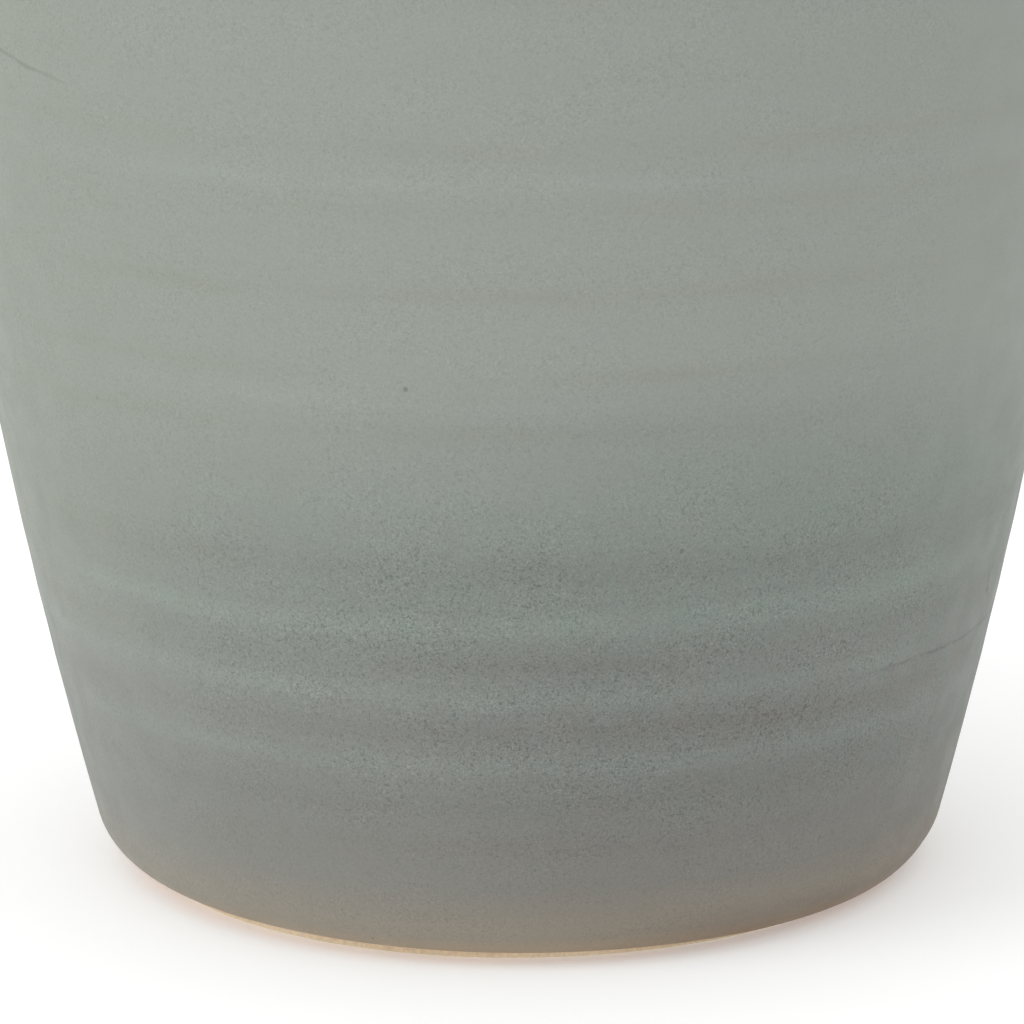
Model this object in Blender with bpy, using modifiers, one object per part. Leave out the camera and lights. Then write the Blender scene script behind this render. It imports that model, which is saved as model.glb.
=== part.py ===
"""A glazed terracotta planter pot with a drain plug and a drain screen.

Metres, +Z up. The pot stands on z = 0 with its axis on +Z. Every turned shape is a profile of
(radius, height) points with a Screw modifier. The pot's visible surface is one path, from the edge
of the drain hole over the lip and down to the foot, and clay and glaze are both worked out from it.
"""

import math

import bmesh
import bpy

# Overall size
POT_HEIGHT = 0.204
HEEL_RADIUS = 0.0811  # where the wall meets the rounded heel
HEEL_ROUND = 0.0115
HEEL_START = math.radians(80)  # below the horizontal, where the heel's arc meets the foot
WALL_LEAN = math.radians(14.3)  # outwards from the vertical, at the heel
WALL_CURVE = 0.484  # per metre: how fast the wall turns back towards the vertical
WALL = 0.0085

# Lip
LIP_BEAD = 0.0055  # section radius of the rolled lip
LIP_OUTWARD = 0.0006  # the bead's centre stands this far outside the middle of the wall
LIP_BLEND = 0.0130  # height over which the wall swells into the bead
LIP_NECK = 0.0003  # how far the swelling has already come at its lower end

# Foot, floor and drain hole
FOOT_RADIUS = 0.0708
FOOT_WIDTH = 0.0075
FOOT_BARE = 0.0014  # height of clay left bare below the glaze
FOOT_EASE = 0.0004
RECESS = 0.0075
RECESS_ROUND = 0.0025
FLOOR = 0.0100
FLOOR_CORNER = 0.0120
HOLE_RADIUS = 0.0100

# Glaze
GLAZE = 0.0008
GAP = 0.0003  # between two pieces that touch
GLAZE_OVERLAP = 0.0250  # how far the outer glaze runs down inside the lip
GLAZE_LINE = 0.0006  # bare line between the two glazes
HOLE_BARE = 0.0008  # bare ring round the drain hole

# Plug
PLUG_FLANGE_RADIUS = 0.0135
PLUG_FLANGE = 0.0020
PLUG_STEM_RADIUS = 0.0088
PLUG_STEM = 0.0080
PLUG_EASE = 0.0007
PLUG_RIB = 0.0009  # half the height of a sealing rib where it meets the stem
PLUG_RIB_FLAT = 0.0002
PLUG_RIBS = (0.62, 0.25)  # how far up the stem each rib stands
PLUG_BAR = (0.0150, 0.0032, 0.0030)
PLUG_BAR_EASE = 0.0009
JOINED = 0.0005  # how deep two shapes run into each other where they are one moulding

# Screen
SCREEN_RADIUS = 0.0220
SCREEN_RIM = 0.0030
SCREEN_THICK = 0.0012
SCREEN_BAR = 0.0010
SCREEN_BAR_THICK = 0.0008
SCREEN_PITCH = 0.0050
SCREEN_ROOM = 0.0006  # how much wider the seat's floor is than the screen, all round
SCREEN_SEAT = 0.0016  # depth of the seat that the screen lies in
SEAT_SLOPE = 0.0016  # width of the seat's sloping edge

# How finely the turned shapes are cut
TURNS = 48
SMALL_TURNS = 36
ARC_STEPS = 5
SHARP_FROM = math.radians(40)

FLOOR_TOP = RECESS + FLOOR
SEAT = FLOOR_TOP - SCREEN_SEAT
COLOURS = {
    "fired_clay": ((0.50, 0.40, 0.28), 0.85),
    "sage_glaze": ((0.31, 0.34, 0.30), 0.45),
    "liner_glaze": ((0.46, 0.45, 0.38), 0.25),
    "silicone": ((0.62, 0.60, 0.55), 0.55),
    "black_mesh": ((0.03, 0.03, 0.03), 0.50),
}


def clear_scene():
    for obj in list(bpy.data.objects):
        bpy.data.objects.remove(obj)


def material(name):
    colour, roughness = COLOURS[name]
    made = bpy.data.materials.new(name)
    made.use_nodes = True
    shader = made.node_tree.nodes["Principled BSDF"]
    shader.inputs["Base Color"].default_value = (*colour, 1.0)
    shader.inputs["Roughness"].default_value = roughness
    shader.inputs["Metallic"].default_value = 0.0
    return made


def collection(name):
    made = bpy.data.collections.new(name)
    bpy.context.scene.collection.children.link(made)
    return made


def arc(centre, radius, start, end, steps=ARC_STEPS):
    """Points on a circle of the profile plane, from one angle in degrees to another."""
    angles = [math.radians(start + (end - start) * i / steps) for i in range(steps + 1)]
    return [(centre[0] + radius * math.cos(a), centre[1] + radius * math.sin(a)) for a in angles]


def inset(path, distance):
    """The path moved towards its right-hand side, which is where the clay is."""
    moved = []
    for i, (radius, height) in enumerate(path):
        before, after = path[max(i - 1, 0)], path[min(i + 1, len(path) - 1)]
        into, out = unit(before, path[i]), unit(path[i], after)
        normal_in, normal_out = (into[1], -into[0]), (out[1], -out[0])
        if i == 0:
            normal_in = normal_out
        if i == len(path) - 1:
            normal_out = normal_in
        across = (normal_in[0] + normal_out[0], normal_in[1] + normal_out[1])
        reach = 2 * distance / (across[0] ** 2 + across[1] ** 2)
        moved.append((radius + across[0] * reach, height + across[1] * reach))
    return moved


def unit(start, end):
    length = math.dist(start, end)
    if length == 0:
        return (0.0, 0.0)
    return ((end[0] - start[0]) / length, (end[1] - start[1]) / length)


def heel_centre():
    return (HEEL_RADIUS - HEEL_ROUND, FOOT_BARE + HEEL_ROUND * math.sin(HEEL_START))


def wall_radius(height):
    """Outer radius of the wall: it leans out from the heel and slowly turns upright."""
    centre = heel_centre()
    start_radius = centre[0] + HEEL_ROUND * math.cos(WALL_LEAN)
    rise = height - (centre[1] - HEEL_ROUND * math.sin(WALL_LEAN))
    return start_radius + math.tan(WALL_LEAN) * rise - WALL_CURVE * rise * rise


def lip_centre():
    height = POT_HEIGHT - LIP_BEAD
    return (wall_radius(height) - WALL / 2 + LIP_OUTWARD, height)


def outer_wall():
    """Outside of the pot, from the lip's crest down to the edge of the bare foot."""
    lip = lip_centre()
    blend = lip[1] - LIP_BLEND
    bead = arc(lip, LIP_BEAD, 90, -35)
    neck = [(wall_radius(blend) + LIP_NECK, blend)]
    spans = 5
    low = heel_centre()[1]
    heights = [blend + (low - blend) * i / spans for i in range(1, spans)]
    wall = [(wall_radius(z), z) for z in heights]
    heel = arc(heel_centre(), HEEL_ROUND, -math.degrees(WALL_LEAN), -math.degrees(HEEL_START))
    return bead + neck + wall + heel


def inner_wall():
    """Inside of the pot, from the edge of the drain hole over the screen's seat and the floor, and up
    to the lip's crest."""
    lip = lip_centre()
    blend = lip[1] - LIP_BLEND
    corner_height = FLOOR_TOP + FLOOR_CORNER
    lean = math.degrees(WALL_LEAN)
    corner_radius = wall_radius(corner_height) - WALL - FLOOR_CORNER
    corner = arc((corner_radius, corner_height), FLOOR_CORNER, -90, -lean, 4)
    spans = 4
    heights = [corner_height + (blend - corner_height) * i / spans for i in range(1, spans + 1)]
    wall = [(wall_radius(z) - WALL, z) for z in heights]
    bead = arc(lip, LIP_BEAD, 205, 90, 4)
    seat_radius = SCREEN_RADIUS + SCREEN_ROOM
    seat = [(HOLE_RADIUS + HOLE_BARE, SEAT), (seat_radius, SEAT), (seat_radius + SEAT_SLOPE, FLOOR_TOP)]
    return seat + corner + wall + bead[:-1]


def split_at_glaze_line(path):
    """The visible path cut in two, with a bare line between, where one glaze ends inside the lip."""
    line = POT_HEIGHT - GLAZE_OVERLAP
    above = next(i for i, point in enumerate(path) if point[1] > line)
    first, last = path[above - 1], path[above]

    def between(height):
        share = (height - first[1]) / (last[1] - first[1])
        return (first[0] + share * (last[0] - first[0]), height)

    return path[:above] + [between(line - GLAZE_LINE)], [between(line)] + path[above:]


def skin(path):
    """Closed section of a glaze coat whose outer face is the path."""
    return path + inset(path, GLAZE)[::-1]


def clay_section():
    """Closed section of the clay: just inside the glaze, then the foot, the recess and the hole."""
    surface = inset(inner_wall() + outer_wall(), GLAZE + GAP)
    inner_foot = FOOT_RADIUS - FOOT_WIDTH
    foot = [
        (FOOT_RADIUS, FOOT_BARE),
        (FOOT_RADIUS, FOOT_EASE),
        (FOOT_RADIUS - FOOT_EASE, 0.0),
        (inner_foot + FOOT_EASE, 0.0),
        (inner_foot, FOOT_EASE),
    ]
    recess_centre = (inner_foot - RECESS_ROUND, RECESS - RECESS_ROUND)
    recess = arc(recess_centre, RECESS_ROUND, 0, 90, 3)
    hole = [(HOLE_RADIUS, RECESS), (HOLE_RADIUS, surface[0][1])]
    return surface + foot + recess + hole


def plug_section():
    """Section of the plug, from the top of its axis down its outer side to the bottom of its axis."""
    seat = RECESS - GAP
    top = seat + PLUG_STEM
    bottom = seat - PLUG_FLANGE
    rib_radius = HOLE_RADIUS - GAP
    stem = [(0.0, top), (PLUG_STEM_RADIUS - PLUG_EASE, top), (PLUG_STEM_RADIUS, top - PLUG_EASE)]
    for share in PLUG_RIBS:
        height = seat + share * PLUG_STEM
        stem += [
            (PLUG_STEM_RADIUS, height + PLUG_RIB),
            (rib_radius, height + PLUG_RIB_FLAT),
            (rib_radius, height - PLUG_RIB_FLAT),
            (PLUG_STEM_RADIUS, height - PLUG_RIB),
        ]
    flange = [
        (PLUG_STEM_RADIUS, seat),
        (PLUG_FLANGE_RADIUS - PLUG_EASE, seat),
        (PLUG_FLANGE_RADIUS, seat - PLUG_EASE),
        (PLUG_FLANGE_RADIUS, bottom + PLUG_EASE),
        (PLUG_FLANGE_RADIUS - PLUG_EASE, bottom),
        (0.0, bottom),
    ]
    return stem + flange


def turned(name, section, turns, parent=None, closed=True):
    """An object made by turning a profile about its own Z axis. A profile that isn't closed starts
    and ends on the axis."""
    mesh = bpy.data.meshes.new(name)
    edges = [(i, i + 1) for i in range(len(section) - 1)]
    if closed:
        edges.append((len(section) - 1, 0))
    mesh.from_pydata([(radius, 0.0, height) for radius, height in section], edges, [])
    obj = bpy.data.objects.new(name, mesh)
    screw = obj.modifiers.new("turn", "SCREW")
    screw.axis = "Z"
    screw.steps = turns
    screw.render_steps = turns
    screw.use_merge_vertices = True
    screw.merge_threshold = 0.00001
    screw.use_smooth_shade = True
    obj.parent = parent
    return obj


def finish(obj, target, slot):
    """Puts the object in its collection with its material and its modifiers applied, so that its
    flowing faces can be shaded smooth and its edges kept sharp."""
    target.objects.link(obj)
    bpy.context.view_layer.update()
    evaluated = obj.evaluated_get(bpy.context.evaluated_depsgraph_get())
    mesh = bpy.data.meshes.new_from_object(evaluated)
    obj.modifiers.clear()
    obj.data = mesh
    mesh.shade_smooth()
    mesh.set_sharp_from_angle(angle=SHARP_FROM)
    mesh.materials.clear()
    mesh.materials.append(material(slot))
    return obj


def empty(name, height, parent, target):
    made = bpy.data.objects.new(name, None)
    made.empty_display_size = 0.01
    made.location = (0.0, 0.0, height)
    made.parent = parent
    target.objects.link(made)
    return made


def box(name, size, location, target):
    """A helper block, used only inside Booleans."""
    mesh = bpy.data.meshes.new(name)
    made = bmesh.new()
    bmesh.ops.create_cube(made, size=1.0)
    bmesh.ops.scale(made, vec=size, verts=made.verts)
    made.to_mesh(mesh)
    made.free()
    obj = bpy.data.objects.new(name, mesh)
    obj.location = location
    obj.hide_render = True
    obj.display_type = "WIRE"
    target.objects.link(obj)
    return obj


def join(obj, other):
    step = obj.modifiers.new("join " + other.name, "BOOLEAN")
    step.operation = "UNION"
    step.solver = "EXACT"
    step.object = other


def make_plug(target, cutters):
    """The silicone plug: a ribbed stem, a flange that seats under the floor, and a grip bar below."""
    plug = turned("drain_plug", plug_section(), SMALL_TURNS, closed=False)
    length, width, depth = PLUG_BAR
    bar_top = RECESS - GAP - PLUG_FLANGE + JOINED
    height = depth + JOINED
    bar = box("grip_bar", (length, width, height), (0, 0, bar_top - height / 2), cutters)
    bevel = bar.modifiers.new("ease", "BEVEL")
    bevel.width = PLUG_BAR_EASE
    bevel.segments = 2
    join(plug, bar)
    return finish(plug, target, "silicone")


def make_screen(target, cutters):
    """The flat mesh disc: a rim with crossed bars, lying in its seat in the lined floor."""
    seat = SEAT + GAP
    rim_inner = SCREEN_RADIUS - SCREEN_RIM
    section = [
        (rim_inner, seat + SCREEN_THICK),
        (SCREEN_RADIUS, seat + SCREEN_THICK),
        (SCREEN_RADIUS, seat),
        (rim_inner, seat),
    ]
    screen = turned("drain_screen", section, SMALL_TURNS)
    count = int(rim_inner / SCREEN_PITCH)
    middle = seat + SCREEN_THICK / 2
    for i in range(-count, count + 1):
        away = i * SCREEN_PITCH
        reach = 2 * (math.sqrt(rim_inner**2 - away**2) + SCREEN_RIM / 3)
        along_x = (reach, SCREEN_BAR, SCREEN_BAR_THICK)
        along_y = (SCREEN_BAR, reach, SCREEN_BAR_THICK)
        join(screen, box(f"bar_x_{i}", along_x, (0, away, middle), cutters))
        join(screen, box(f"bar_y_{i}", along_y, (away, 0, middle), cutters))
    return finish(screen, target, "black_mesh")


def move_origin(obj, parent):
    """Hangs a finished piece on the empty that stands on its joint's axis, without moving it."""
    obj.data.transform(parent.matrix_world.inverted())
    obj.parent = parent


def main():
    clear_scene()
    pot = collection("glazed_pot")
    cutters = collection("cutters")
    cutters.hide_render = True
    root = empty("pot_frame", 0.0, None, pot)

    inside, outside = split_at_glaze_line(inner_wall() + outer_wall())
    finish(turned("clay_body", clay_section(), TURNS, root), pot, "fired_clay")
    finish(turned("outer_glaze", skin(outside), TURNS, root), pot, "sage_glaze")
    finish(turned("liner_glaze", skin(inside), TURNS, root), pot, "liner_glaze")

    plug_axis = empty("plug_axis", RECESS, root, pot)
    screen_axis = empty("screen_axis", SEAT, root, pot)
    bpy.context.view_layer.update()
    move_origin(make_plug(pot, cutters), plug_axis)
    move_origin(make_screen(pot, cutters), screen_axis)


main()
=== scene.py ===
import math

import bmesh
import bpy
import numpy as np
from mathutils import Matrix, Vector


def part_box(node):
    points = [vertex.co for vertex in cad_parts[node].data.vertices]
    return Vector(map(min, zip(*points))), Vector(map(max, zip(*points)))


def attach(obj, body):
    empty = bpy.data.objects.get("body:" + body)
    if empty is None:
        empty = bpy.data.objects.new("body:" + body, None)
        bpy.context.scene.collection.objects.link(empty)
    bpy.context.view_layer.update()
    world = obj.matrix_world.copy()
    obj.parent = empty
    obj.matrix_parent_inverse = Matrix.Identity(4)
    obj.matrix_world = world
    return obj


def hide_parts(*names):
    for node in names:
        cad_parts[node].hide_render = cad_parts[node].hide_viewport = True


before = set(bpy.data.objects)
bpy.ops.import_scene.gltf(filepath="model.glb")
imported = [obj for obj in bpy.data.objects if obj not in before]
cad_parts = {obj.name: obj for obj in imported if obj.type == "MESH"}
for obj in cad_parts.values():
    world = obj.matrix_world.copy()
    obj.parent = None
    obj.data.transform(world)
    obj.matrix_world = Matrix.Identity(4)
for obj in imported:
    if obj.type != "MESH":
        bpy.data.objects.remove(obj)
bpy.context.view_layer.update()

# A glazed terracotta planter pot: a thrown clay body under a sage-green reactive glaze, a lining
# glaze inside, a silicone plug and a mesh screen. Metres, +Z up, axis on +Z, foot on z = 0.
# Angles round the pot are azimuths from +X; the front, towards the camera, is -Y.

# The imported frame's own sizes
glaze_low, glaze_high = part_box("outer_glaze")
plug_low, plug_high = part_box("drain_plug")
screen_low, screen_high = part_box("drain_screen")
POT_HEIGHT = glaze_high.z
RIM_RADIUS = glaze_high.x
FOOT_LINE = glaze_low.z  # height at which the sage glaze ends and the bare foot begins

# The pot's line, as in the CAD
HEEL_RADIUS = 0.0811
HEEL_ROUND = 0.0115
HEEL_START = 80.0  # degrees below the horizontal at which the heel's round begins
WALL_LEAN = 14.3  # degrees from upright, at the heel
WALL_CURVE = 0.484  # how fast the wall turns upright, per metre
WALL = 0.0085
LIP_BEAD = 0.0055
LIP_BLEND = 0.0130  # how far under the bead's centre the wall ends
BEAD_OUTSIDE_END = -38.0
BEAD_INSIDE_END = 205.0
FOOT_RADIUS = 0.0708
FOOT_WIDTH = 0.0075
RECESS = 0.0075
FLOOR_TOP = 0.0175
FLOOR_CORNER = 0.0120
SEAT = 0.0159
SEAT_RADIUS = 0.0226
SEAT_SLOPE = 0.0016
HOLE_RADIUS = 0.0100
HOLE_BARE = 0.0008  # bare clay round the hole's edge
GAP = 0.0003  # between two CAD pieces that touch
GLAZE = 0.0008
GLAZE_LINE_INSIDE = POT_HEIGHT - 0.0250
LINING_OVERLAP = 0.0020  # how far the lining runs up under the sage glaze
LINING_SUNK = 0.0003  # how far the lining's face lies behind the sage glaze's
HIDDEN_CLAY = 0.0007  # how far the clay lies behind the glazes' faces
BACK_KEEP = 3  # a coat's back has every third of its face's rows: coarser, it cuts through the face

# Throwing rings outside: height, how far a ridge stands out (a groove is negative), half width
RINGS = (
    (0.0120, -0.30, 0.0030), (0.0180, 0.20, 0.0026), (0.0250, -0.35, 0.0028),
    (0.0325, -0.45, 0.0028), (0.0402, 1.00, 0.0024), (0.0468, -0.85, 0.0028),
    (0.0539, 1.15, 0.0022), (0.0606, -0.80, 0.0028), (0.0672, 1.20, 0.0028),
    (0.0775, -0.85, 0.0042), (0.0900, 0.30, 0.0040), (0.1027, -0.75, 0.0024),
    (0.1083, 0.55, 0.0026), (0.1129, -0.60, 0.0020), (0.1200, 0.20, 0.0030),
    (0.1276, -0.80, 0.0023), (0.1350, 0.20, 0.0030), (0.1427, -0.60, 0.0024),
    (0.1473, 0.80, 0.0024), (0.1530, -0.60, 0.0022), (0.1600, 0.30, 0.0026),
    (0.1660, -0.30, 0.0020), (0.1710, 0.30, 0.0020), (0.1780, -0.40, 0.0028),
)
RING_DEPTH = 0.00008
RING_WANDER = 0.0005
RING_MOST = 1.3  # the strongest that overlapping rings may add up to

# Where the turned shapes are uneven
FRONT = math.radians(-90)
DARKEST = math.radians(-65)  # azimuth at which the glaze's dark zone is deepest
FOOT_OFFSET = math.radians(-120)  # azimuth at which the foot ring stands out most
FOOT_SHIFT = 0.00020
EDGE_LOW = math.radians(-10)  # azimuth at which the glaze runs lowest down the foot
EDGE_DROP = 0.0011
EDGE_TAPER = 0.00030  # how much thinner the glaze gets at its lower edge
EDGE_REACH = 0.0016  # how far above the edge that thinning begins
GLAZE_WOBBLE = 0.0001
DEEPEST_PUSH = -0.00045  # keeps the glaze's face in front of the clay
INSIDE_EDGE_WAVE = 0.0007
INSIDE_EDGE_REACH = 0.008
INNER_RING_PITCH = 0.0125
INNER_RING_DEPTH = 0.00024

AROUND = 264
SEED = 7
# Which draws of waves() belong to what. A ring uses its own number, and that plus RING_FADE_SEED.
WOBBLE_SEED, INSIDE_EDGE_SEED, FOOT_EDGE_SEED = 50, 51, 52
POOLING_SEED, FOOT_SEED, RING_FADE_SEED = 60, 61, 100


# ---- Outlines: lists of (radius, height) ----

def arc(centre, radius, start, end, steps):
    angles = np.radians(np.linspace(start, end, steps + 1))
    return [(centre[0] + radius * math.cos(a), centre[1] + radius * math.sin(a)) for a in angles]


def heel_centre():
    return (HEEL_RADIUS - HEEL_ROUND, FOOT_LINE + HEEL_ROUND * math.sin(math.radians(HEEL_START)))


def wall_foot():
    """Height at which the heel's round meets the wall."""
    return heel_centre()[1] - HEEL_ROUND * math.sin(math.radians(WALL_LEAN))


def wall_radius(height):
    """Outer radius of the wall: it leans out from the heel and slowly turns upright."""
    lean = math.radians(WALL_LEAN)
    rise = height - wall_foot()
    start = heel_centre()[0] + HEEL_ROUND * math.cos(lean)
    return start + math.tan(lean) * rise - WALL_CURVE * rise * rise


def lip_centre():
    return (RIM_RADIUS - LIP_BEAD, POT_HEIGHT - LIP_BEAD)


def bend(start, start_way, end, end_way, steps):
    """The points between start and end of a smooth curve that leaves and arrives in the given ways."""
    reach = 0.4 * math.dist(start, end)
    a, d = np.array(start), np.array(end)
    b, c = a + reach * np.array(start_way), d - reach * np.array(end_way)
    t = np.linspace(0, 1, steps + 1)[1:-1, None]
    points = (1 - t) ** 3 * a + 3 * (1 - t) ** 2 * t * b + 3 * (1 - t) * t * t * c + t**3 * d
    return [tuple(p) for p in points]


def way(first, second):
    """The direction from one point to another, of length 1."""
    length = math.dist(first, second)
    return ((second[0] - first[0]) / length, (second[1] - first[1]) / length)


def outside_path(step):
    """Visible outside, from the lip's crest down to the glaze's lower edge at the foot."""
    lip, low = lip_centre(), wall_foot()
    blend = lip[1] - LIP_BLEND
    bead = arc(lip, LIP_BEAD, 90, BEAD_OUTSIDE_END, steps=18)
    wall = [(wall_radius(z), z) for z in np.linspace(blend, low, int((blend - low) / step))]
    neck = bend(bead[-1], way(bead[-2], bead[-1]), wall[0], way(wall[0], wall[1]), steps=9)
    heel = arc(heel_centre(), HEEL_ROUND, -WALL_LEAN, -HEEL_START, steps=22)
    return bead + neck + wall + heel[1:]


def inside_path(step):
    """Visible inside, from the edge of the drain hole out over the floor and up to the lip's crest."""
    lip = lip_centre()
    blend = lip[1] - LIP_BLEND
    height = FLOOR_TOP + FLOOR_CORNER
    corner_centre = (wall_radius(height) - WALL - FLOOR_CORNER, height)
    corner = arc(corner_centre, FLOOR_CORNER, -90, -WALL_LEAN, steps=18)
    seat_edge = SEAT_RADIUS + SEAT_SLOPE
    ease = 0.45 * SEAT_SLOPE
    seat = [(r, SEAT) for r in np.linspace(HOLE_RADIUS + HOLE_BARE, SEAT_RADIUS - ease, 12)]
    slope = bend(seat[-1], (1, 0), (seat_edge + ease, FLOOR_TOP), (1, 0), steps=12)
    columns = int((corner_centre[0] - seat_edge) / step)
    flat = [(r, FLOOR_TOP) for r in np.linspace(seat_edge + ease, corner_centre[0], columns)]
    first = corner[-1][1]
    wall = [(wall_radius(z) - WALL, z) for z in np.linspace(first, blend, int((blend - first) / step))]
    bead = arc(lip, LIP_BEAD, BEAD_INSIDE_END, 90, steps=14)
    neck = bend(wall[-1], way(wall[-2], wall[-1]), bead[0], way(bead[0], bead[1]), steps=7)
    return seat + slope + flat[:-1] + corner + wall[1:] + neck + bead[:-1]


def normals(path):
    """Unit normals on the path's left, which is the side away from the clay."""
    along = np.gradient(np.array(path), axis=0)
    along /= np.linalg.norm(along, axis=1)[:, None]
    return np.stack([-along[:, 1], along[:, 0]], axis=1)


def moved(path, distance):
    return [tuple(p) for p in np.array(path) + normals(path) * distance]


def thinned(path, keep):
    """Every keep-th point of a path, with both of its ends."""
    return path[:-1:keep] + [path[-1]]


def round_end(path, thickness, last, steps=6):
    """Half-round edge of a coat, past the last point of its path or before the first. It runs from
    the coat's outer face to its inner one at the last point, and back at the first."""
    index, sign = (-1, 1) if last else (0, -1)
    normal = normals(path)[index]
    outwards = sign * np.array([normal[1], -normal[0]])
    centre = np.array(path[index]) - normal * thickness / 2
    angles = sign * np.linspace(math.pi / 2, -math.pi / 2, steps + 1)[1:-1]
    ways = [normal * math.sin(a) + outwards * math.cos(a) for a in angles]
    return [tuple(centre + thickness / 2 * w) for w in ways]


# ---- Turned meshes ----

def link(name, mesh):
    made = bpy.data.objects.new(name, mesh)
    bpy.context.scene.collection.objects.link(made)
    return made


def waves(theta, count, slowest, seed):
    """A smooth random function round the pot, between about -1 and 1, that meets itself."""
    draw = np.random.default_rng(SEED * 1000 + seed)
    total = np.zeros_like(theta)
    for turns in range(slowest, slowest + count):
        total += draw.uniform(0.4, 1.0) * np.cos(turns * theta + draw.uniform(0, 2 * math.pi))
    return total / (0.5 * count)


def towards(theta, azimuth):
    """1 at an azimuth, falling smoothly to 0 on the pot's other side."""
    return (1 + np.cos(theta - azimuth)) / 2


def lathe(name, section, shift=None, values=None, around=AROUND, closed=True):
    """Turns a section of (radius, height) points about Z. shift(theta) gives how far each point moves
    outwards and upwards, and values(theta) the named values that the material reads, all as arrays of
    points by turns."""
    theta = np.arange(around) * (2 * math.pi / around)
    points = np.array(section)
    radius = np.repeat(points[:, :1], around, axis=1)
    height = np.repeat(points[:, 1:], around, axis=1)
    if shift is not None:
        outwards, upwards = shift(theta)
        radius, height = radius + outwards, height + upwards
    grid = np.stack([radius * np.cos(theta), radius * np.sin(theta), height], axis=2)
    rows = len(section)
    column = np.arange(around)
    after = (column + 1) % around
    faces = []
    for i in range(rows if closed else rows - 1):
        low, high = i * around, (i + 1) % rows * around
        faces.append(np.stack([low + column, high + column, high + after, low + after], 1))
    mesh = bpy.data.meshes.new(name)
    mesh.from_pydata(grid.reshape(-1, 3).tolist(), [], np.concatenate(faces).tolist())
    if values is not None:
        for label, numbers in values(theta).items():
            made = mesh.attributes.new(label, "FLOAT", "POINT")
            made.data.foreach_set("value", numbers.astype(np.float32).ravel())
    finish_skin(mesh, melt_poles=not closed)
    mesh.validate()
    mesh.shade_smooth()
    return link(name, mesh)


def finish_skin(mesh, melt_poles=False):
    """Turns the faces outwards, and melts the points that an open section leaves on the axis."""
    work = bmesh.new()
    work.from_mesh(mesh)
    if melt_poles:
        bmesh.ops.remove_doubles(work, verts=work.verts, dist=1e-7)
    bmesh.ops.recalc_face_normals(work, faces=work.faces)
    work.to_mesh(mesh)
    work.free()


# ---- The glazes and the clay ----

def ring_tone(theta, height):
    """How strongly each point stands on a throwing ridge, or, if negative, in a groove."""
    total = np.zeros((len(height), len(theta)))
    side = 0.76 + 0.32 * np.cos(2 * (theta - FRONT))
    for number, (centre, strength, half_width) in enumerate(RINGS):
        middle = centre + RING_WANDER * waves(theta, 3, 1, number)
        fade = side * (0.85 + 0.25 * waves(theta, 5, 2, RING_FADE_SEED + number))
        total += strength * fade * np.exp(-(((height[:, None] - middle) / half_width) ** 2))
    return np.clip(total, -RING_MOST, RING_MOST)


def pooling(theta, height):
    """How deep the glaze's dark zone is round the pot: deepest right of the front, shallow at the
    left, and there again at the back."""
    front = towards(theta, DARKEST) ** 2
    back = 0.7 * towards(theta, DARKEST + math.pi) ** 4
    uneven = 0.05 * waves(theta, 6, 2, POOLING_SEED)
    return np.repeat((front + back + uneven)[None, :], len(height), axis=0)


def above_edge(theta, height):
    """How far each point of the sage glaze is above that glaze's lower edge."""
    return np.repeat((height - FOOT_LINE)[:, None], len(theta), axis=1)


def inner_rings(theta, height):
    """The spiral that the thrower's fingers left inside: 1 on its crest and about -1 between turns."""
    turn = height[:, None] / INNER_RING_PITCH * 2 * math.pi + theta
    return 0.7 * np.cos(turn) + 0.3 * np.cos(2 * turn + 0.8 + 0.3 * np.cos(theta))


def coat(name, path, thickness, push, values, slide=None):
    """A glaze coat: a closed skin whose outer face is the path, round at both of its edges. push gives
    how far its outer face stands out, and slide how far all of it moves up."""
    back = thinned(moved(path, -thickness), BACK_KEEP)[::-1]
    edge = round_end(path, thickness, last=True)
    section = np.array(path + edge + back + round_end(path, thickness, last=False))
    count, ends = len(path), len(edge)
    facing = normals(path)
    fade = np.linspace(1, 0, ends + 2)[1:-1, None]

    def shift(theta):
        proud = push(theta, section[:count, 1])
        shifts = []
        for axis in (0, 1):
            part = np.zeros((len(section), len(theta)))
            part[:count] = proud * facing[:, axis : axis + 1]
            part[count : count + ends] = fade * proud[-1] * facing[-1, axis]
            part[-ends:] = fade[::-1] * proud[0] * facing[0, axis]
            shifts.append(part)
        outwards, upwards = shifts
        if slide is not None:
            upwards += slide(theta, section)
        return outwards, upwards

    def section_values(theta):
        return {label: rule(theta, section[:, 1]) for label, rule in values.items()}

    return lathe(name, section, shift, section_values)


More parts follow.
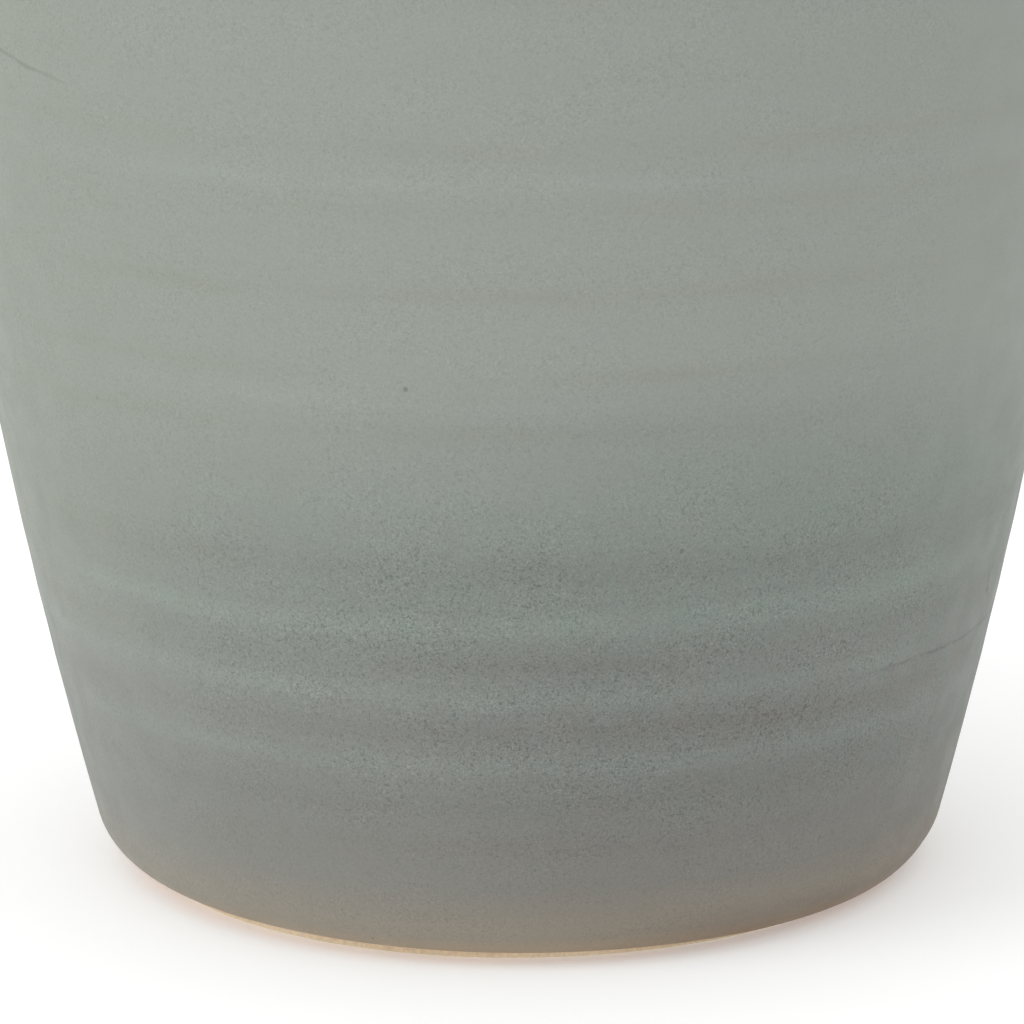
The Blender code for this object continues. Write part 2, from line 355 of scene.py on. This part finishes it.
def outer_coat():
    """The sage glaze, from its edge inside the lip, over the crest and down to the foot."""
    inner = [p for p in inside_path(0.0012) if p[1] > GLAZE_LINE_INSIDE]

    def push(theta, heights):
        wobble = GLAZE_WOBBLE * (waves(theta, 3, 2, WOBBLE_SEED) - 1)
        rings = RING_DEPTH * ring_tone(theta, heights)
        reach = EDGE_REACH * (1 + 0.35 * waves(theta, 9, 4, FOOT_EDGE_SEED))
        edge = np.clip((FOOT_LINE + reach - heights[:, None]) / reach, 0, 1)
        return np.maximum(rings + wobble - EDGE_TAPER * edge**2, DEEPEST_PUSH)

    def slide(theta, points):
        radius, height = points[:, 0], points[:, 1]
        inside = (radius < wall_radius(height) - WALL / 2) & (height > POT_HEIGHT / 2)
        near = inside * np.clip(1 - (height - GLAZE_LINE_INSIDE) / INSIDE_EDGE_REACH, 0, 1)
        foot = np.clip((0.0060 - height) / 0.0040, 0, 1)
        wave = INSIDE_EDGE_WAVE * waves(theta, 6, 3, INSIDE_EDGE_SEED)
        drop = EDGE_DROP * towards(theta, EDGE_LOW) ** 3
        return near[:, None] * wave - foot[:, None] * drop

    values = {"tone": ring_tone, "pooling": pooling, "rise": above_edge}
    return coat("sage_coat", inner + outside_path(0.0010), GLAZE, push, values, slide)


def liner_coat():
    """The lining glaze, from the drain hole to just under the outer glaze's edge."""
    top = GLAZE_LINE_INSIDE + LINING_OVERLAP
    path = moved([p for p in inside_path(0.0010) if p[1] < top], -LINING_SUNK)

    def push(theta, heights):
        share = np.clip((heights - FLOOR_TOP) / 0.02, 0, 1)[:, None]
        return INNER_RING_DEPTH * share * inner_rings(theta, heights) - GLAZE_WOBBLE

    return coat("liner_coat", path, GLAZE - LINING_SUNK, push, {"tone": inner_rings})


def clay_pot():
    """The fired clay: hidden under the glazes but for its foot, its underside and the drain hole."""
    hidden = thinned(moved(inside_path(0.004) + outside_path(0.004), -HIDDEN_CLAY), 2)
    ease, hole_ease, recess_round = 0.00045, 0.0006, 0.0025
    inner_foot = FOOT_RADIUS - FOOT_WIDTH
    foot = [(FOOT_RADIUS + 0.0002, FOOT_LINE + 0.0004), (FOOT_RADIUS, FOOT_LINE - 0.0002)]
    foot += arc((FOOT_RADIUS - ease, ease), ease, 0, -90, steps=5)
    foot += [(r, 0.0) for r in np.linspace(FOOT_RADIUS - ease, inner_foot + ease, 8)[1:-1]]
    foot += arc((inner_foot + ease, ease), ease, -90, -180, steps=5)
    recess = arc((inner_foot - recess_round, RECESS - recess_round), recess_round, 0, 90, steps=8)
    ceiling = np.linspace(inner_foot - recess_round, HOLE_RADIUS + hole_ease, 90)[1:-1]
    recess += [(r, RECESS) for r in ceiling]
    hole_top = SEAT - 0.0013
    hole = arc((HOLE_RADIUS + hole_ease, RECESS + hole_ease), hole_ease, -90, -180, steps=4)
    hole += [(HOLE_RADIUS, z) for z in np.linspace(RECESS + 0.0008, hole_top - 0.0003, 8)]
    hole += arc((HOLE_RADIUS + hole_ease, hole_top), hole_ease, 180, 90, steps=4)
    section = np.array(hidden + foot + recess + hole)
    height = section[:, 1]
    at_foot = np.clip((FOOT_LINE + 0.0008 - height) / 0.0008, 0, 1)[:, None]
    under = ((height > RECESS - 0.0003) & (height < RECESS + 0.0001))[:, None]

    def shift(theta):
        off_round = np.cos(theta - FOOT_OFFSET) + 0.3 * waves(theta, 6, 3, FOOT_SEED)
        turn = section[:, :1] / 0.0028 * 2 * math.pi + theta  # turning marks on the underside
        return FOOT_SHIFT * at_foot * off_round, 0.00012 * under * np.cos(turn)

    return lathe("clay_pot", section, shift)


# ---- The drain's fittings ----

def plug():
    """The silicone plug: a ribbed stem, a seating flange and a grip bar."""
    seat, top = RECESS - GAP, plug_high.z
    bottom = seat - 0.0020
    stem, flange, rib = 0.0088, plug_high.x, HOLE_RADIUS - GAP
    crown, root, rib_tip, flange_edge, flange_foot = 0.0010, 0.0006, 0.0004, 0.0006, 0.0008
    rib_half = 0.0010
    body = [(0.0, top), (0.0028, top), (stem - 0.0012, top)]
    body += arc((stem - crown, top - crown), crown, 80, 0, steps=6)
    for share in (0.62, 0.25):
        middle = seat + share * (top - seat)
        body += [(stem, middle + rib_half)] + arc((rib - rib_tip, middle), rib_tip, 70, -70, steps=8)
        body += [(stem, middle - rib_half)]
    body += [(stem, seat + root)] + arc((stem + root, seat + root), root, 200, 270, steps=4)
    body += arc((flange - flange_edge, seat - flange_edge), flange_edge, 90, 0, steps=6)
    body += arc((flange - flange_foot, bottom + flange_foot), flange_foot, 0, -90, steps=6)
    body += [(flange * 0.75, bottom), (flange * 0.4, bottom), (0.0, bottom)]
    piece = lathe("rubber_plug", body, around=96, closed=False)
    bar = grip_bar(bottom)
    union = piece.modifiers.new("bar", "BOOLEAN")
    union.operation = "UNION"
    union.solver = "EXACT"
    union.object = bar
    apply_modifiers(piece)
    bpy.data.objects.remove(bar)
    piece.data.shade_smooth()
    piece.data.set_sharp_from_angle(angle=math.radians(50))
    return piece


def grip_bar(flange_bottom):
    low, high = plug_low.z, flange_bottom + 0.0006
    mesh = bpy.data.meshes.new("bar")
    work = bmesh.new()
    bmesh.ops.create_cube(work, size=1.0)
    bmesh.ops.scale(work, vec=Vector((0.0150, 0.0032, high - low)), verts=work.verts)
    bmesh.ops.translate(work, vec=(0, 0, (low + high) / 2), verts=work.verts)
    bmesh.ops.bevel(
        work, geom=work.edges[:], offset=0.0010, segments=5, profile=0.5, affect="EDGES",
        clamp_overlap=True,
    )
    work.to_mesh(mesh)
    work.free()
    return link("bar", mesh)


def apply_modifiers(piece):
    bpy.context.view_layer.update()
    made = piece.evaluated_get(bpy.context.evaluated_depsgraph_get())
    mesh = bpy.data.meshes.new_from_object(made)
    piece.modifiers.clear()
    piece.data = mesh


def mesh_screen():
    """The drain screen: a round rim with strands woven across it."""
    radius, low, high = screen_high.x, screen_low.z, screen_high.z
    rim_width, ease, sunk = 0.0030, 0.0004, 0.0006
    outer, inner = radius - ease, radius - rim_width + ease
    section = arc((outer, high - ease), ease, 90, 0, steps=4)
    section += arc((outer, low + ease), ease, 0, -90, steps=4)
    section += arc((inner, low + ease), ease, -90, -180, steps=4)
    section += arc((inner, high - ease), ease, 180, 90, steps=4)
    rim = lathe("mesh_screen", section, around=144)
    strands = woven_strands(radius - rim_width + sunk, (low + high) / 2)
    work = bmesh.new()
    work.from_mesh(rim.data)
    work.from_mesh(strands)
    work.to_mesh(rim.data)
    work.free()
    rim.data.shade_smooth()
    return rim


def woven_strands(reach, middle):
    """Strands along X and Y, each passing over and under the others in turn."""
    pitch, thick, swing = 0.0024, 0.00028, 0.00029
    sides, steps_per_pitch, least_steps = 8, 6, 8
    count = int(reach / pitch)
    verts, faces = [], []
    for along_y in (False, True):
        for number in range(-count, count + 1):
            across = number * pitch
            half = math.sqrt(max(reach**2 - across**2, 0))
            steps = max(int(2 * half / pitch * steps_per_pitch), least_steps)
            line = np.linspace(-half, half, steps + 1)
            sign = (1 if along_y else -1) * (1 if number % 2 else -1)
            lift = sign * swing * np.cos(line / pitch * math.pi)
            base = len(verts)
            for where, up in zip(line, lift):
                for side in range(sides):
                    angle = 2 * math.pi * side / sides
                    off, rise = thick * math.cos(angle), thick * math.sin(angle)
                    point = (across - off, where) if along_y else (where, across + off)
                    verts.append((*point, middle + up + rise))
            for i in range(steps):
                for side in range(sides):
                    a, b = base + i * sides + side, base + i * sides + (side + 1) % sides
                    faces.append((a, a + sides, b + sides, b))
            faces.append(tuple(base + s for s in range(sides)))
            faces.append(tuple(base + steps * sides + s for s in reversed(range(sides))))
    mesh = bpy.data.meshes.new("strands")
    mesh.from_pydata(verts, [], faces)
    finish_skin(mesh)
    return mesh


# ---- Materials ----

class Shader:
    """A material's node tree, with short calls for the nodes that these materials use."""

    def __init__(self, name, roughness):
        self.material = bpy.data.materials.new(name)
        self.material.use_nodes = True
        self.tree = self.material.node_tree
        self.out = self.tree.nodes["Principled BSDF"]
        self.out.inputs["Roughness"].default_value = roughness
        place = self.tree.nodes.new("ShaderNodeTexCoord")
        self.place = place.outputs["Object"]
        split = self.tree.nodes.new("ShaderNodeSeparateXYZ")
        self.tree.links.new(self.place, split.inputs[0])
        self.x, self.y, self.z = split.outputs

    def put(self, socket, value):
        if isinstance(value, bpy.types.NodeSocket):
            self.tree.links.new(value, socket)
        else:
            socket.default_value = value

    def finish(self, colour, roughness, normal):
        for label, value in (("Base Color", colour), ("Roughness", roughness), ("Normal", normal)):
            self.put(self.out.inputs[label], value)
        return self.material

    def math(self, kind, first, second=0.0, clamp=False):
        node = self.tree.nodes.new("ShaderNodeMath")
        node.operation, node.use_clamp = kind, clamp
        self.put(node.inputs[0], first)
        self.put(node.inputs[1], second)
        return node.outputs[0]

    def times(self, first, *others):
        for other in others:
            first = self.math("MULTIPLY", first, other)
        return first

    def centred(self, value, spread):
        """A noise, which lies around a half, moved to lie around zero and scaled."""
        return self.times(self.math("SUBTRACT", value, 0.5), spread)

    def off(self, value, middle):
        """How far a value is from a middle, either way."""
        return self.math("ABSOLUTE", self.math("SUBTRACT", value, middle))

    def step(self, value, low, high, to_low=0.0, to_high=1.0):
        """value taken smoothly from low..high to to_low..to_high."""
        node = self.tree.nodes.new("ShaderNodeMapRange")
        node.interpolation_type = "SMOOTHSTEP"
        for socket, given in zip(node.inputs, (value, low, high, to_low, to_high)):
            self.put(socket, given)
        return node.outputs[0]

    def noise(self, scale, detail=2.0, stretch=(1, 1, 1), roughness=0.5, offset=(0, 0, 0)):
        place = self.tree.nodes.new("ShaderNodeMapping")
        self.put(place.inputs["Vector"], self.place)
        place.inputs["Scale"].default_value = stretch
        place.inputs["Location"].default_value = offset
        node = self.tree.nodes.new("ShaderNodeTexNoise")
        self.put(node.inputs["Vector"], place.outputs[0])
        node.inputs["Scale"].default_value = scale
        node.inputs["Detail"].default_value = detail
        node.inputs["Roughness"].default_value = roughness
        return node.outputs[0]

    def attribute(self, name):
        node = self.tree.nodes.new("ShaderNodeAttribute")
        node.attribute_name = name
        return node.outputs["Fac"]

    def ramp(self, value, stops):
        """A run of colours, given as pairs of a place from 0 to 1 and a screen colour."""
        node = self.tree.nodes.new("ShaderNodeValToRGB")
        self.put(node.inputs[0], value)
        marks = node.color_ramp.elements
        while len(marks) < len(stops):
            marks.new(0.5)
        for mark, (where, colour) in zip(marks, stops):
            mark.position = where
            mark.color = (*srgb(*colour), 1.0)
        return node.outputs[0]

    def mix(self, share, first, second, kind="MIX"):
        node = self.tree.nodes.new("ShaderNodeMix")
        node.data_type, node.blend_type = "RGBA", kind
        self.put(node.inputs["Factor"], share)
        for socket, value in ((node.inputs[6], first), (node.inputs[7], second)):
            self.put(socket, (*value, 1.0) if isinstance(value, tuple) and len(value) == 3 else value)
        return node.outputs[2]

    def tinted(self, share, colour, tint):
        """A colour multiplied by a tint, where share is 1."""
        return self.mix(share, colour, self.mix(1.0, colour, tint, "MULTIPLY"))

    def scaled(self, colour, factor):
        """A colour made lighter or darker by a factor that varies over the surface."""
        node = self.tree.nodes.new("ShaderNodeVectorMath")
        node.operation = "SCALE"
        self.put(node.inputs[0], colour)
        self.put(node.inputs["Scale"], factor)
        return node.outputs[0]

    def bump(self, height, distance, under=None):
        node = self.tree.nodes.new("ShaderNodeBump")
        node.inputs["Strength"].default_value = 1.0
        node.inputs["Distance"].default_value = distance
        self.put(node.inputs["Height"], height)
        if under is not None:
            self.put(node.inputs["Normal"], under)
        return node.outputs[0]


def srgb(red, green, blue):
    """A colour given from 0 to 255 as it shows on a screen, made linear."""
    shares = [c / 255 for c in (red, green, blue)]
    return tuple(((c + 0.055) / 1.055) ** 2.4 if c > 0.04 else c / 12.92 for c in shares)


# The sage glaze's screen colours, by share of the pot's height: where it pooled deep, and on the
# pot's left, where it stayed thin. Both go from the buff foot through greys to sage green; their
# lowest stops are also lightened as painted light, for light bounced up from below onto the heel.
DEEP = (
    (0.000, (166, 146, 119)), (0.030, (135, 127, 114)), (0.080, (118, 116, 110)),
    (0.170, (111, 113, 109)), (0.270, (113, 116, 112)), (0.375, (116, 123, 117)),
    (0.445, (121, 128, 122)), (0.570, (135, 140, 133)), (1.000, (135, 140, 133)),
)
SHALLOW = (
    (0.000, (166, 151, 129)), (0.030, (140, 136, 126)), (0.090, (131, 133, 128)),
    (0.250, (135, 139, 132)), (0.400, (134, 140, 130)), (1.000, (134, 140, 130)),
)
DARK_LAG = 0.020  # how much lower the dark zone begins where it is shallow
LAG_BAND = (0.020, 0.050)
RIDGE_TINT = (1.065, 1.100, 1.095)  # teal, where a ridge caught more glaze
GROOVE_TINT = (0.94, 0.905, 0.905)  # brown, where a groove has less
BROWN_TINT = (1.00, 0.97, 0.96)
TEAL_TINT = (0.98, 1.005, 1.01)
# Painted shade: darkens and browns the right heel, where less light bounces up from the floor
HEEL_SHADE_TINT = (0.76, 0.71, 0.70)
RUST = (192, 144, 100)
LIP_BROWN = (127, 110, 89)
CREASE_BROWN = (64, 62, 54)
SPOT_BROWN = (70, 64, 60)

# Grain: a fine noise with dark and light flecks on it, about 0.3 mm across
GRAIN = 3000.0
FLECK = GRAIN * 0.53
GRAIN_DEPTH = 0.9
FLECK_DEPTH = 0.19
GRAIN_LEAST = 0.34  # where the glaze is light
GRAIN_MOST = 0.92  # where it is dark

# Bands: the height, or the x or y, at which something is absent and at which it is full
STRONG_RINGS = (0.090, 0.070)
GRAIN_TOP = (0.118, 0.058)
GRAIN_FOOT = (0.008, 0.048)
CALM_RIGHT_X = (0.066, 0.084)
RUST_BAND = (0.0012, 0.0002)  # above the glaze's lower edge
LIP_BAND = (POT_HEIGHT - 0.0018, POT_HEIGHT)
# Where the right heel's painted shade lies
HEEL_BAND, HEEL_X = (0.0130, 0.0030), (0.000, 0.045)
FAR_HEEL_BAND, FAR_HEEL_X = (0.0240, 0.0060), (0.048, 0.070)
HEEL_Y = (0.03, -0.02)
SPOTS_Y = (0.0, -0.01)
POOLED_BAND, POOLED_RADIUS = (FLOOR_TOP + 0.009, FLOOR_TOP + 0.001), (0.055, 0.066)

# Creases where two dips of glaze meet: one level at the right, one sloping at the left
CREASE_BAND = (0.00055, 0.0001)  # either side of its middle
CREASE_WANDER = 0.0026
CREASE_STRENGTH = 0.30
CREASE_DENT = -0.8
RIGHT_CREASE = 0.0512
RIGHT_CREASE_X, RIGHT_CREASE_Y = (0.056, 0.074), (-0.010, -0.024)
LEFT_CREASE, LEFT_CREASE_SLOPE = 0.161, -0.29  # its height at the left outline, and its slope along x
LEFT_OUTLINE = 0.0823
LEFT_CREASE_X, LEFT_CREASE_Y = (-0.074, -0.084), (-0.035, -0.052)

# Iron spots on the front: x, height, half width and half height
SPOTS = (
    (-0.0190, 0.1110, 0.00045, 0.00050), (-0.0263, 0.0046, 0.0003, 0.0003),
    (0.0862, 0.0576, 0.0003, 0.0008), (0.0865, 0.0585, 0.00012, 0.0034),
)
SPOT_STRENGTH = 0.42

LINER_THIN = (196, 180, 150)
LINER_THICK = (208, 196, 170)
LINER_POOLED = (170, 164, 138)
LINER_SPECK = (112, 88, 62)


def sage_glaze():
    s = Shader("sage_glaze", 0.55)
    depth = s.math("ADD", s.attribute("pooling"), s.centred(s.noise(14.0, 3.0, (1, 1, 2)), 0.5), clamp=True)
    colour = glaze_by_height(s, depth)
    colour = ringed(s, colour)
    colour = grained(s, colour, depth)
    colour = edged(s, colour)
    crease = creases(s)
    colour = s.mix(s.times(crease, CREASE_STRENGTH), colour, srgb(*CREASE_BROWN))
    colour = s.mix(iron_spots(s), colour, srgb(*SPOT_BROWN))

    s.out.inputs["Specular IOR Level"].default_value = 0.28
    satin = s.step(s.noise(140.0, 3.0), 0.3, 0.7, 0.50, 0.62)
    fine = s.bump(s.noise(1100.0, 2.0), 0.00003)
    swell = s.math("ADD", s.noise(150.0, 2.0, (1, 1, 3)), s.times(crease, CREASE_DENT))
    return s.finish(colour, satin, s.bump(swell, 0.00010, under=fine))


def glaze_by_height(s, depth):
    """From buff at the foot, lightened there as painted bounce light, through greys to sage green; the
    dark zone is lower where it is shallow.
    """
    lag = s.times(s.math("SUBTRACT", 1.0, depth), s.step(s.z, *LAG_BAND, 0.0, DARK_LAG))
    deep = s.ramp(s.math("DIVIDE", s.math("ADD", s.z, lag), POT_HEIGHT), DEEP)
    shallow = s.ramp(s.math("DIVIDE", s.z, POT_HEIGHT), SHALLOW)
    return s.mix(depth, shallow, deep)


def ringed(s, colour):
    """Throwing rings: teal where the glaze is thick, brown where it is thin."""
    broken = s.step(s.noise(34.0, 3.0, (1, 1, 5)), 0.28, 0.62, 0.65, 1.15)
    stronger_low = s.step(s.z, *STRONG_RINGS, 0.9, 1.3)
    streak = s.centred(s.noise(30.0, 5.0, (1, 1, 7), roughness=0.6), 1.0)
    tone = s.math("ADD", s.times(s.attribute("tone"), broken, stronger_low), streak)
    colour = s.tinted(s.step(tone, 0.0, RING_MOST), colour, RIDGE_TINT)
    return s.tinted(s.step(tone, 0.0, -RING_MOST), colour, GROOVE_TINT)


def grained(s, colour, depth):
    """Blotches and grain, strongest where the glaze is dark."""
    band = s.times(s.step(s.z, *GRAIN_TOP), s.step(s.z, *GRAIN_FOOT, 0.20, 1.0))
    dark = s.times(band, s.step(depth, 0.25, 1.0, 0.15, 1.0))
    blotch = s.centred(s.noise(170.0, 3.0), s.step(dark, 0.0, 1.0, 0.35, 1.0))
    colour = s.tinted(s.step(blotch, 0.0, 0.22), colour, BROWN_TINT)
    colour = s.tinted(s.step(blotch, 0.0, -0.22), colour, TEAL_TINT)

    dark_fleck = s.step(s.noise(FLECK, 1.0, offset=(3, 1, 2)), 0.57, 0.64)
    light_fleck = s.step(s.noise(FLECK, 1.0, offset=(5, 9, 4)), 0.59, 0.67)
    fleck = s.math("SUBTRACT", s.times(light_fleck, 0.7), dark_fleck)
    grain = s.centred(s.noise(GRAIN, 1.0, roughness=0.7), GRAIN_DEPTH)
    grain = s.math("ADD", grain, s.times(fleck, FLECK_DEPTH))
    calm_right = s.math("SUBTRACT", 1.0, s.times(s.step(s.x, *CALM_RIGHT_X), 0.6))
    patchy = s.step(s.noise(60.0, 3.0, (1, 1, 2), offset=(2, 8, 5)), 0.3, 0.7, 0.7, 1.35)
    amount = s.times(s.step(dark, 0.0, 1.0, GRAIN_LEAST, GRAIN_MOST), calm_right, patchy)
    return s.scaled(colour, s.math("ADD", 1.0, s.times(grain, amount)))


def edged(s, colour):
    """Iron: a rusty line where the glaze ends at the foot and a browner lip; and painted shade: the right
    heel darkened and browned, where less light bounces up from the floor.
    """
    rough_line = s.centred(s.noise(220.0, 3.0), 0.0012)
    halo = s.step(s.math("ADD", s.attribute("rise"), rough_line), *RUST_BAND)
    colour = s.mix(halo, colour, srgb(*RUST))
    lip = s.step(s.math("ADD", s.z, rough_line), *LIP_BAND)
    colour = s.mix(s.times(lip, 0.7), colour, srgb(*LIP_BROWN))

    # Painted shade on the right heel, where less light bounces up from the floor
    heel = s.times(s.step(s.x, *HEEL_X), s.step(s.z, *HEEL_BAND))
    far_heel_shade = s.times(s.step(s.x, *FAR_HEEL_X), s.step(s.z, *FAR_HEEL_BAND, 0.0, 0.4))
    heel = s.times(s.math("MAXIMUM", heel, far_heel_shade), s.step(s.y, *HEEL_Y))
    return s.tinted(heel, colour, HEEL_SHADE_TINT)


def creases(s):
    """1 on the two creases, with their ends faded out and breaks along them."""
    height = s.math("ADD", s.z, s.centred(s.noise(80.0, 5.0, roughness=0.6), CREASE_WANDER))
    right = s.step(s.off(height, RIGHT_CREASE), *CREASE_BAND)
    right_here = s.times(s.step(s.x, *RIGHT_CREASE_X), s.step(s.y, *RIGHT_CREASE_Y))
    slope = s.times(s.math("ADD", s.x, LEFT_OUTLINE), LEFT_CREASE_SLOPE)
    left = s.step(s.off(height, s.math("ADD", LEFT_CREASE, slope)), *CREASE_BAND)
    left_here = s.times(s.step(s.x, *LEFT_CREASE_X, 0.0, 0.7), s.step(s.y, *LEFT_CREASE_Y))
    both = s.math("MAXIMUM", s.times(right, right_here), s.times(left, left_here))
    return s.times(both, s.step(s.noise(160.0, 2.0), 0.30, 0.62, 0.3, 1.0))


def iron_spots(s):
    """How strong the iron spots are: small ones anywhere, and the placed ones on the front."""
    spots = s.times(s.step(s.noise(230.0, 0.0, offset=(7, 3, 1)), 0.885, 0.91), 0.4)
    for across, height, wide, tall in SPOTS:
        side = s.math("DIVIDE", s.math("SUBTRACT", s.x, across), wide)
        up = s.math("DIVIDE", s.math("SUBTRACT", s.z, height), tall)
        out = s.math("ADD", s.times(side, side), s.times(up, up))
        here = s.times(s.step(out, 1.4, 0.4, 0.0, SPOT_STRENGTH), s.step(s.y, *SPOTS_Y))
        spots = s.math("MAXIMUM", spots, here)
    return spots


def fired_clay():
    s = Shader("fired_clay", 0.85)
    grain = s.noise(1500.0, 4.0)
    colour = s.mix(s.step(s.noise(30.0, 3.0), 0.3, 0.7), srgb(222, 205, 176), srgb(230, 216, 190))
    colour = s.scaled(colour, s.step(grain, 0.2, 0.8, 0.88, 1.12))
    return s.finish(colour, s.step(grain, 0.3, 0.7, 0.78, 0.92), s.bump(grain, 0.00012))


def lining():
    """A clear liner over buff clay: lighter on the rings' crests, pooled in the floor's corner, and
    speckled."""
    s = Shader("liner_glaze", 0.3)
    colour = s.mix(s.step(s.noise(18.0, 4.0), 0.2, 0.8), srgb(*LINER_THIN), srgb(*LINER_THICK))
    colour = s.scaled(colour, s.step(s.attribute("tone"), -1.2, 1.2, 0.93, 1.05))
    radius = s.math("SQRT", s.math("ADD", s.times(s.x, s.x), s.times(s.y, s.y)))
    pooled = s.times(s.step(s.z, *POOLED_BAND), s.step(radius, *POOLED_RADIUS), 0.6)
    colour = s.mix(pooled, colour, srgb(*LINER_POOLED))
    specks = s.times(s.step(s.noise(420.0, 0.0), 0.80, 0.84), 0.55)
    colour = s.mix(specks, colour, srgb(*LINER_SPECK))
    colour = s.scaled(colour, s.step(s.noise(900.0, 2.0), 0.2, 0.8, 0.97, 1.03))
    gloss = s.step(s.noise(60.0, 2.0), 0.2, 0.8, 0.24, 0.34)
    return s.finish(colour, gloss, s.bump(s.noise(240.0, 1.0), 0.00005))


def moulded(name, patch, dark, light, gloss, rough, fine):
    """A moulded rubber or plastic: patch, gloss and fine are the scales of its colour, roughness and
    bump, and rough is its least and most roughness."""
    s = Shader(name, 0.5)
    colour = s.mix(s.noise(patch, 3.0), srgb(*dark), srgb(*light))
    roughness = s.step(s.noise(gloss, 2.0), 0.3, 0.7, *rough)
    return s.finish(colour, roughness, s.bump(s.noise(fine, 2.0), 0.00002))


def silicone():
    return moulded("plug_silicone", 350.0, (150, 148, 142), (166, 164, 158), 700.0, (0.42, 0.58), 2500.0)


def black_plastic():
    return moulded("screen_plastic", 500.0, (30, 31, 31), (46, 47, 46), 900.0, (0.4, 0.6), 3000.0)


# ---- Studio ----

FLOOR_RADIUS = 12.0
FLOOR_WHITE = 0.90
FLOOR_GLOW = 0.22  # keeps the shadow under the pot light
WHITE = (1.0, 1.0, 1.0, 1.0)
LENS = 185.2
CAMERA_PLACE = (-0.0011, -0.9689, 0.3047)
CAMERA_DOWN = 13.9
CAMERA_ROLL = -0.25


def floor():
    mesh = bpy.data.meshes.new("floor")
    work = bmesh.new()
    bmesh.ops.create_circle(work, cap_ends=True, segments=96, radius=FLOOR_RADIUS)
    work.to_mesh(mesh)
    work.free()
    made = link("floor", mesh)
    paint = bpy.data.materials.new("floor")
    paint.use_nodes = True
    shader = paint.node_tree.nodes["Principled BSDF"]
    shader.inputs["Base Color"].default_value = (FLOOR_WHITE, FLOOR_WHITE, FLOOR_WHITE, 1.0)
    shader.inputs["Emission Color"].default_value = WHITE
    shader.inputs["Emission Strength"].default_value = FLOOR_GLOW
    shader.inputs["Roughness"].default_value = 0.9
    shader.inputs["Specular IOR Level"].default_value = 0.0
    made.data.materials.append(paint)


def soft_light(name, place, size, power):
    """A round area light, aimed at the pot's middle."""
    lamp = bpy.data.lights.new(name, "AREA")
    lamp.shape = "DISK"
    lamp.size, lamp.energy = size, power
    made = link(name, lamp)
    made.location = place
    aim = Vector((0, 0, POT_HEIGHT / 2)) - Vector(place)
    made.rotation_euler = aim.to_track_quat("-Z", "Y").to_euler()
    made.visible_camera = False


def studio():
    """White surroundings, with a soft key from the upper left and a low fill from the front left."""
    world = bpy.data.worlds.new("studio")
    world.use_nodes = True
    sky = world.node_tree.nodes["Background"]
    sky.inputs["Color"].default_value = WHITE
    sky.inputs["Strength"].default_value = 1.0
    bpy.context.scene.world = world
    soft_light("key", (-1.7, -1.0, 1.3), 1.4, 11.0)
    soft_light("fill", (-0.9, -1.8, 0.22), 0.8, 3.0)
    bpy.context.scene.view_settings.view_transform = "Standard"


def camera():
    """The photograph's view: a long lens that looks down a little, at the pot's lower wall."""
    lens = bpy.data.cameras.new("camera")
    lens.lens, lens.sensor_width = LENS, 36.0
    lens.clip_start, lens.clip_end = 0.05, 50.0
    made = link("camera", lens)
    made.location = CAMERA_PLACE
    made.rotation_euler = (math.radians(90 - CAMERA_DOWN), 0.0, 0.0)
    made.rotation_euler.rotate_axis("Z", math.radians(CAMERA_ROLL))
    bpy.context.scene.camera = made


def dress(piece, paint, node, body):
    piece.data.materials.clear()
    piece.data.materials.append(paint)
    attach(piece, body)
    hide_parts(node)


dress(outer_coat(), sage_glaze(), "outer_glaze", "pot")
dress(liner_coat(), lining(), "liner_glaze", "pot")
dress(clay_pot(), fired_clay(), "clay_body", "pot")
dress(plug(), silicone(), "drain_plug", "plug")
dress(mesh_screen(), black_plastic(), "drain_screen", "screen")
floor()
studio()
camera()
